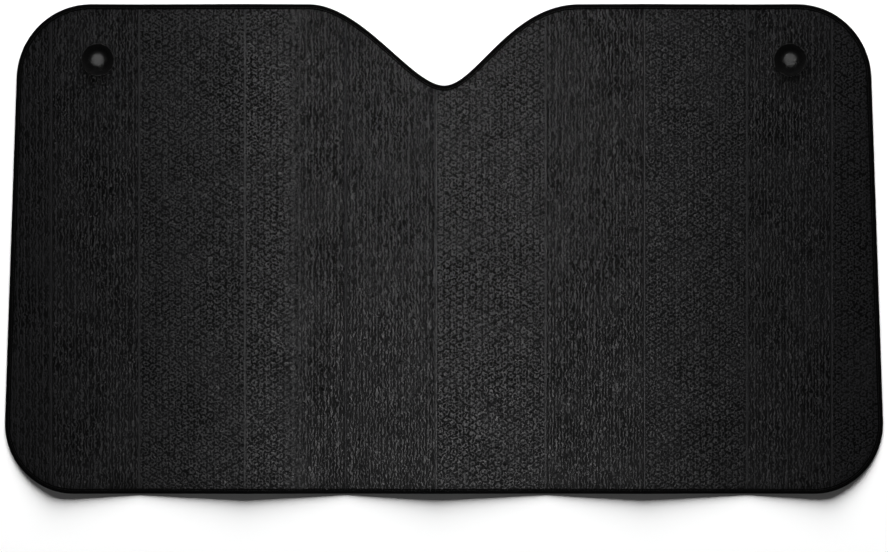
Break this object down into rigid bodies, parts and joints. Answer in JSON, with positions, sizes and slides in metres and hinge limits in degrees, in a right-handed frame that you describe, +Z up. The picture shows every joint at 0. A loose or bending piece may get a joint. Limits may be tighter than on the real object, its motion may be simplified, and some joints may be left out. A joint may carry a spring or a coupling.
{
  "type": "folding windscreen shade",
  "caption": "Black bubble-film windscreen shade with accordion folds, taped edge, mirror notch and suction cups.",
  "frame": {"origin": "centre of the lying sheet's bounding box, on the surface that it rests on", "axes": "+X across the shade to the right of its glass side, +Y towards the notched top edge, +Z up out of the glass side"},
  "size_m": [1.4498, 0.808, 0.0279],
  "materials": {
    "bubble_film": "satin black film over bubbles",
    "binding_tape": "matt black non-woven tape",
    "cup_rubber": "glossy black soft plastic",
    "eyelet_metal": "bright"
  },
  "bodies": {
    "shade": {"shade_panel": "bubble_film", "edge_binding": "binding_tape", "eyelet_left": "eyelet_metal", "eyelet_washer_left": "eyelet_metal", "eyelet_right": "eyelet_metal", "eyelet_washer_right": "eyelet_metal"},
    "cup_left": {"suction_cup_left": "cup_rubber"},
    "cup_right": {"suction_cup_right": "cup_rubber"}
  },
  "joints": [
    {"name": "cup_left_turn", "type": "hinge", "parent": "shade", "child": "cup_left", "pos_m": [-0.5715, 0.3115, 0.00661], "axis": [0.083, 0, 0.9965], "continuous": true},
    {"name": "cup_right_turn", "type": "hinge", "parent": "shade", "child": "cup_right", "pos_m": [0.5715, 0.3115, 0.00707], "axis": [-0.086, 0, 0.9963], "continuous": true}
  ]
}
